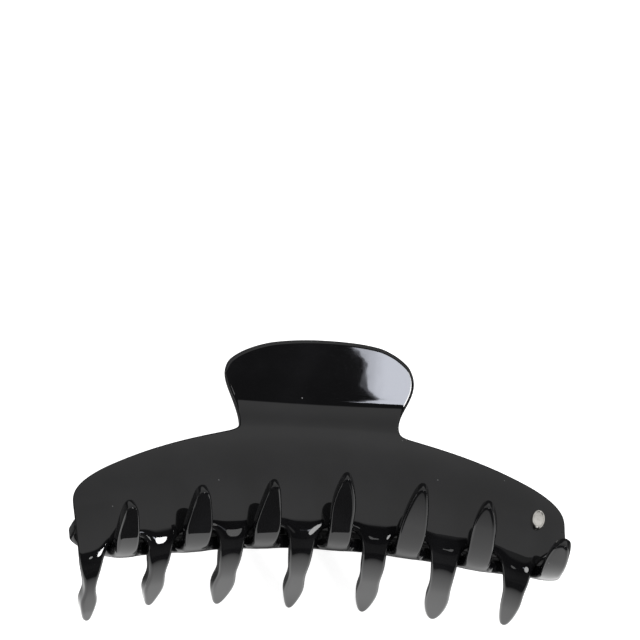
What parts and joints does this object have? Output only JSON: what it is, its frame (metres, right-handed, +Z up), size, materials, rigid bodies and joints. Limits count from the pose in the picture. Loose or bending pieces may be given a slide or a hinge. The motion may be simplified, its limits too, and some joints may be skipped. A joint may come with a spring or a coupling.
{
  "type": "hair claw clip",
  "caption": "Large acetate claw clip for long or thick hair: two arched jaws with interlocking curved teeth, hinged on a pin and closed by a torsion spring.",
  "frame": {"origin": "centre of the footprint, on the surface that the clip rests on as it lies on its back", "axes": "+X along the clip, parallel to the hinge pin, +Y towards the handles, +Z up from the surface"},
  "size_m": [0.1108, 0.0558, 0.0463],
  "materials": {
    "acetate": "polished",
    "acetate_lug": "tumbled",
    "pin_steel": "bright",
    "spring_steel": "drawn wire",
    "polished_metal": "polished"
  },
  "bodies": {
    "lower": {"lower_jaw": "acetate", "lower_lug_outer": "acetate_lug", "lower_lug_inner": "acetate_lug", "hinge_pin": "pin_steel", "torsion_spring": "spring_steel"},
    "upper": {"upper_jaw": "acetate", "upper_lug_outer": "acetate_lug", "upper_lug_inner": "acetate_lug", "plain_stud": "polished_metal"}
  },
  "joints": [
    {"name": "jaw_open", "type": "hinge", "parent": "lower", "child": "upper", "pos_m": [0, 0.01255, 0.02264], "axis": [-1, 0, 0], "range_deg": [0, 108], "stiffness_Nm_per_rad": 0.15, "springref_deg": -34.38, "deforming": ["torsion_spring"]}
  ]
}
